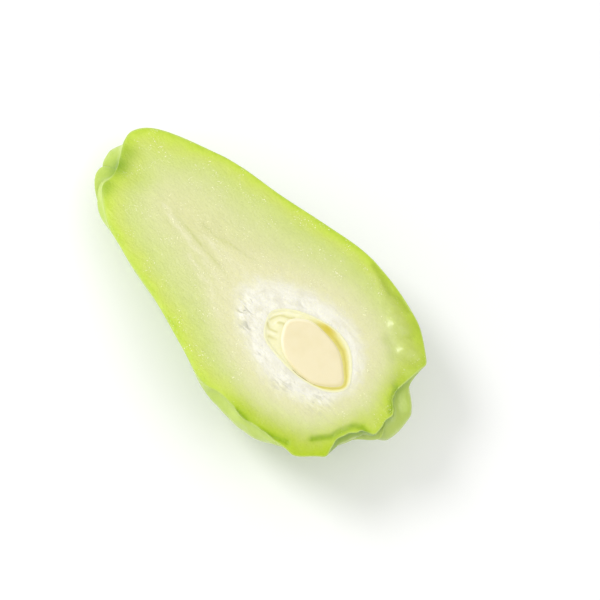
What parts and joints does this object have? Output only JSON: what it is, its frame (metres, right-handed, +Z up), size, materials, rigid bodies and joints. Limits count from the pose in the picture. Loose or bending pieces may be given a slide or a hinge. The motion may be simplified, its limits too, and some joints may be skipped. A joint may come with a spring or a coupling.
{
  "type": "chayote squash half",
  "caption": "Pear-shaped ribbed squash cut in half lengthwise through its flat seed, lying on its back with the cut face up.",
  "frame": {"origin": "middle of the box's underside, on the surface the half lies on", "axes": "+Z up, +X along the fruit to the blossom end, so the stem end is at -X and the cut face looks up"},
  "size_m": [0.1396, 0.0712, 0.0374],
  "materials": {
    "skin_and_flesh": "waxy green skin round pale, moist, yellow-green flesh",
    "seed_coat": "smooth, moist, cream to yellow",
    "seed": "smooth cut cream seed flesh"
  },
  "bodies": {
    "root": {"fruit_half": "skin_and_flesh", "seed_coat": "seed_coat", "seed": "seed"}
  },
  "joints": []
}
